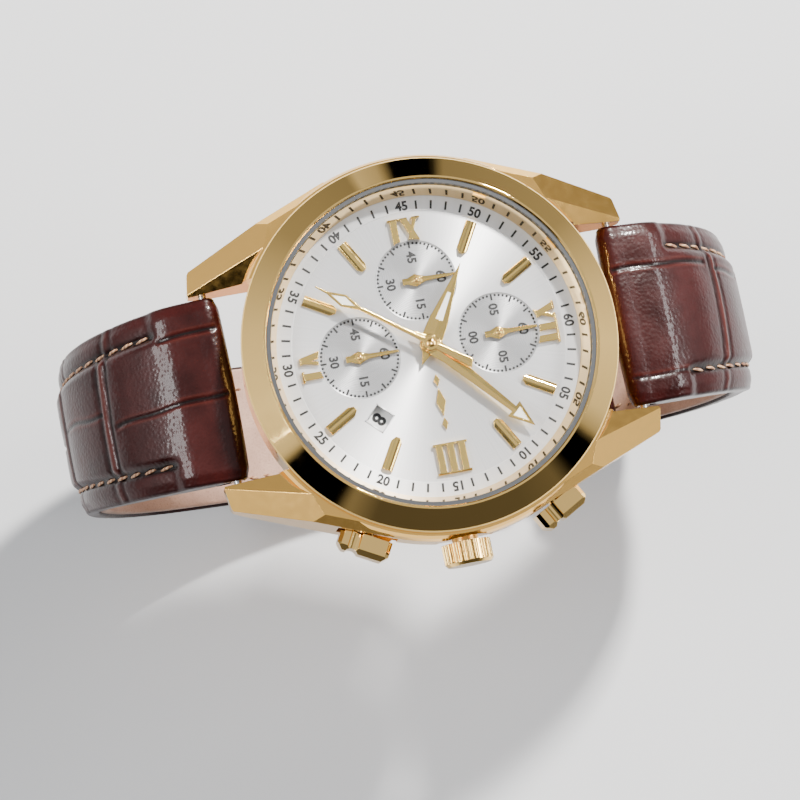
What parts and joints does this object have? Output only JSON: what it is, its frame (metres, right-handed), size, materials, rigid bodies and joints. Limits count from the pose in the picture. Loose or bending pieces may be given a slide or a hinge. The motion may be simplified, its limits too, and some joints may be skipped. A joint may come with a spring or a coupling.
{
  "type": "chronograph wristwatch",
  "caption": "Round gold-tone chronograph wristwatch with small dials, pull-out crown, sprung pushers and a buckled crocodile-grain leather strap.",
  "frame": {"origin": "middle of the case back's outer face", "axes": "+Z out of the dial, +Y towards 12 o'clock along the strap, +X along the crown"},
  "size_m": [0.0472, 0.0839, 0.0592],
  "materials": {
    "gold_polished": "polished gold tone plating",
    "gold_brushed": "satin gold tone plating",
    "crystal_glass": "polished mineral glass",
    "gasket_rubber": "matte",
    "steel": "satin",
    "dial_silver": "sunburst silver",
    "lume": "matte luminous paint",
    "date_white": "matte",
    "plate_nickel": "fine grained",
    "ring_plastic": "moulded",
    "board_green": "solder resist",
    "chip_black": "moulded epoxy",
    "coil_copper": "enamelled wire",
    "wheel_brass": "machined",
    "leather_brown": "glossy crocodile grain",
    "lining_leather": "smooth matte lining"
  },
  "bodies": {
    "case": {"case_body": "gold_polished", "bezel": "gold_polished", "crystal": "crystal_glass", "crystal_gasket": "gasket_rubber", "rehaut_ring": "gold_polished", "case_back": "gold_brushed", "case_back_gasket": "gasket_rubber", "case_back_screws": "steel", "crown_tube": "gold_brushed", "pusher_tubes": "gold_brushed", "dial": "dial_silver", "dial_indices": "gold_polished", "dial_numerals": "gold_polished", "dial_ornament": "gold_polished", "main_plate": "plate_nickel", "movement_ring": "ring_plastic", "train_bridge": "plate_nickel", "circuit_board": "board_green", "quartz_can": "steel", "control_chip": "chip_black", "battery": "steel", "battery_clamp": "wheel_brass", "drive_coils": "coil_copper", "stators": "steel", "switch_springs": "steel", "movement_screws": "steel", "strap_short_leather": "leather_brown", "strap_short_lining": "lining_leather", "strap_long_leather": "leather_brown", "strap_long_lining": "lining_leather", "keeper_fixed": "leather_brown", "buckle_frame": "gold_polished", "buckle_bar": "steel", "spring_bars": "steel"},
    "minute": {"minute_hand": "gold_polished", "minute_lume": "lume", "cannon_pinion": "wheel_brass"},
    "hour": {"hour_hand": "gold_polished", "hour_lume": "lume", "hour_wheel": "wheel_brass"},
    "motion_wheel": {"minute_wheel": "wheel_brass"},
    "small_seconds": {"small_seconds_hand": "gold_polished"},
    "chrono_seconds": {"chrono_seconds_hand": "gold_polished", "seconds_lume": "lume"},
    "chrono_minutes": {"chrono_minute_hand": "gold_polished"},
    "chrono_counter": {"chrono_counter_hand": "gold_polished"},
    "date": {"date_disc": "date_white"},
    "time_motor": {"time_rotor": "steel"},
    "chrono_motor": {"chrono_rotor": "steel"},
    "clutch": {"clutch_wheel": "steel"},
    "crown": {"crown": "gold_polished", "crown_gasket": "gasket_rubber", "winding_stem": "steel"},
    "start_pusher": {"pusher_start": "gold_polished", "pusher_spring_start": "steel"},
    "reset_pusher": {"pusher_reset": "gold_polished", "pusher_spring_reset": "steel"},
    "lever": {"setting_lever": "steel"},
    "floating_keeper": {"keeper_floating": "leather_brown"},
    "tongue": {"buckle_tongue": "gold_polished"}
  },
  "joints": [
    {"name": "minute_turn", "type": "hinge", "parent": "case", "child": "minute", "pos_m": [0, 0, 0.0092], "axis": [0, 0, -1], "continuous": true},
    {"name": "hour_turn", "type": "hinge", "parent": "case", "child": "hour", "pos_m": [0, 0, 0.0088], "axis": [0, 0, -1], "continuous": true},
    {"name": "motion_wheel_turn", "type": "hinge", "parent": "case", "child": "motion_wheel", "pos_m": [-0.00208, 0.0012, 0.0067], "axis": [0, 0, -1], "continuous": true},
    {"name": "small_seconds_turn", "type": "hinge", "parent": "case", "child": "small_seconds", "pos_m": [0, -0.00805, 0.0084], "axis": [0, 0, -1], "continuous": true},
    {"name": "chrono_seconds_turn", "type": "hinge", "parent": "case", "child": "chrono_seconds", "pos_m": [0, 0, 0.0097], "axis": [0, 0, -1], "continuous": true},
    {"name": "chrono_minutes_turn", "type": "hinge", "parent": "case", "child": "chrono_minutes", "pos_m": [-0.00757, 0, 0.0084], "axis": [0, 0, -1], "continuous": true},
    {"name": "chrono_counter_turn", "type": "hinge", "parent": "case", "child": "chrono_counter", "pos_m": [0, 0.00805, 0.0084], "axis": [0, 0, -1], "continuous": true},
    {"name": "date_turn", "type": "hinge", "parent": "case", "child": "date", "pos_m": [0, 0, 0.007], "axis": [0, 0, -1], "continuous": true},
    {"name": "time_motor_spin", "type": "hinge", "parent": "case", "child": "time_motor", "pos_m": [0.0037, -0.0051, 0.0038], "axis": [0, 0, -1], "continuous": true},
    {"name": "chrono_motor_spin", "type": "hinge", "parent": "case", "child": "chrono_motor", "pos_m": [0.0037, 0.0051, 0.0038], "axis": [0, 0, -1], "continuous": true},
    {"name": "crown_turn", "type": "hinge", "parent": "case", "child": "clutch", "pos_m": [0.008, 0, 0.0052], "axis": [1, 0, 0], "continuous": true},
    {"name": "crown_pull", "type": "slide", "parent": "clutch", "child": "crown", "axis": [1, 0, 0], "range_m": [0, 0.0012]},
    {"name": "setting_lever_swing", "type": "hinge", "parent": "case", "child": "lever", "pos_m": [0.01255, 0.0034, 0.0065], "axis": [0, 0, 1], "range_deg": [0, 20.3]},
    {"name": "start_press", "type": "slide", "parent": "case", "child": "start_pusher", "axis": [-0.8746, -0.4848, 0], "range_m": [0, 0.0008], "stiffness_N_per_m": 400, "springref_m": -0.0006},
    {"name": "reset_press", "type": "slide", "parent": "case", "child": "reset_pusher", "axis": [-0.8746, 0.4848, 0], "range_m": [0, 0.0008], "stiffness_N_per_m": 400, "springref_m": -0.0006},
    {"name": "keeper_slide", "type": "hinge", "parent": "case", "child": "floating_keeper", "pos_m": [0, 0, 0.01759], "axis": [-1, 0, 0], "range_deg": [-1, 4.6]},
    {"name": "tongue_lift", "type": "hinge", "parent": "case", "child": "tongue", "pos_m": [0, 0.0085, -0.04204], "axis": [1, 0, 0], "range_deg": [0, 4]}
  ],
  "couplings": [
    {"joint": "hour_turn", "follows": "minute_turn", "ratio": 0.083333},
    {"joint": "motion_wheel_turn", "follows": "minute_turn", "ratio": -0.33333},
    {"joint": "small_seconds_turn", "follows": "minute_turn", "ratio": 60},
    {"joint": "chrono_minutes_turn", "follows": "chrono_seconds_turn", "ratio": 0.016667},
    {"joint": "setting_lever_swing", "follows": "crown_pull", "rad_per_m": 294}
  ]
}
